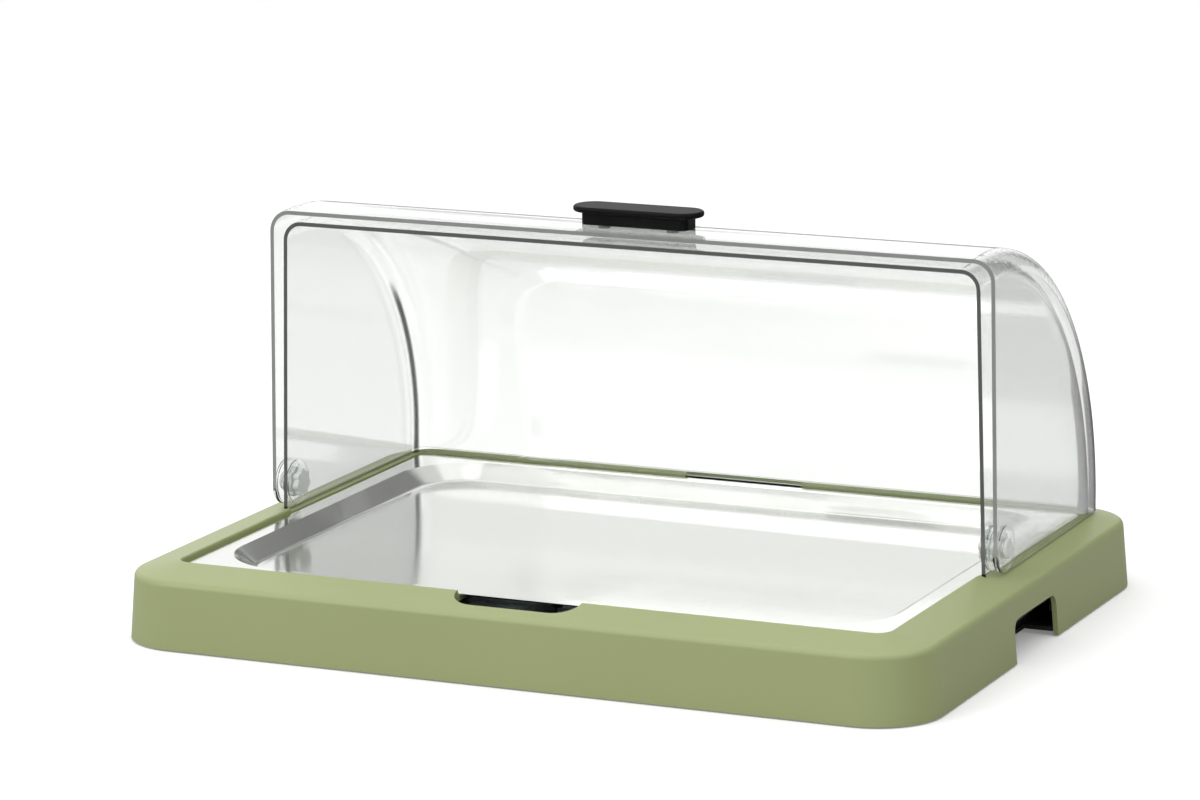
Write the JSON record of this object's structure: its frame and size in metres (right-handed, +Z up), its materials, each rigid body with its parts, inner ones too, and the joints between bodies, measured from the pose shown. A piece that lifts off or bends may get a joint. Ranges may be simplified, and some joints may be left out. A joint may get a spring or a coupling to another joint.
{
  "type": "refrigerated display case",
  "caption": "Countertop chilled display case: a steel serving tray in a moulded green base with cold packs below, under a clear roll-top hood whose front shell swings back over the rear one.",
  "frame": {"origin": "under the middle of the base, on the surface that it stands on", "axes": "+X to the right along the long side as seen from the open front, +Y to the back, +Z up"},
  "size_m": [0.505, 0.385, 0.2421],
  "materials": {
    "green_moulding": "fine moulded texture, satin",
    "tray_steel": "satin polished sheet",
    "black_moulding": "fine texture",
    "foam": "closed-cell foam",
    "dark_moulding": "fine texture",
    "screw_steel": "zinc plated",
    "clear_shell": "clear polycarbonate",
    "clear_fitting": "clear moulded",
    "handle_black": "satin moulded",
    "foot_rubber": "matt",
    "pack_bottle": "blow-moulded",
    "pack_gel": "wet gel",
    "pack_cap": "moulded"
  },
  "bodies": {
    "base": {"base_shell": "green_moulding", "cooling_tub": "black_moulding", "insulation_sheet": "foam", "bottom_plate": "dark_moulding", "bottom_plate_screws": "screw_steel", "foot_front_left": "foot_rubber", "foot_front_right": "foot_rubber", "foot_back_left": "foot_rubber", "foot_back_right": "foot_rubber"},
    "tray": {"serving_tray": "tray_steel"},
    "cold_pack_left": {"cold_pack_shell_left": "pack_bottle", "cold_pack_coolant_left": "pack_gel", "cold_pack_cap_left": "pack_cap"},
    "cold_pack_right": {"cold_pack_shell_right": "pack_bottle", "cold_pack_coolant_right": "pack_gel", "cold_pack_cap_right": "pack_cap"},
    "rear_hood_assembly": {"rear_hood": "clear_shell", "pivot_hub_left": "clear_fitting", "pivot_hub_right": "clear_fitting", "pivot_pin_left": "clear_fitting", "pivot_pin_right": "clear_fitting", "pivot_knob_left": "clear_fitting", "pivot_knob_right": "clear_fitting"},
    "front_hood_assembly": {"front_hood": "clear_shell", "handle_grip": "handle_black", "handle_screws": "screw_steel"}
  },
  "joints": [
    {"name": "hood_lift", "type": "slide", "parent": "base", "child": "rear_hood_assembly", "axis": [0, 0, 1], "range_m": [0, 0.26]},
    {"name": "front_hood_turn", "type": "hinge", "parent": "rear_hood_assembly", "child": "front_hood_assembly", "pos_m": [0, -0.0044, 0.06], "axis": [1, 0, 0], "range_deg": [0, 90]},
    {"name": "tray_lift", "type": "slide", "parent": "base", "child": "tray", "axis": [0, 0, 1], "range_m": [0, 0.13]},
    {"name": "cold_pack_lift_left", "type": "slide", "parent": "base", "child": "cold_pack_left", "axis": [0, 0, 1], "range_m": [0, 0.065]},
    {"name": "cold_pack_lift_right", "type": "slide", "parent": "base", "child": "cold_pack_right", "axis": [0, 0, 1], "range_m": [0, 0.065]}
  ],
  "couplings": [
    {"joint": "tray_lift", "follows": "hood_lift", "ratio": 0.5},
    {"joint": "cold_pack_lift_left", "follows": "hood_lift", "ratio": 0.25},
    {"joint": "cold_pack_lift_right", "follows": "hood_lift", "ratio": 0.25}
  ]
}
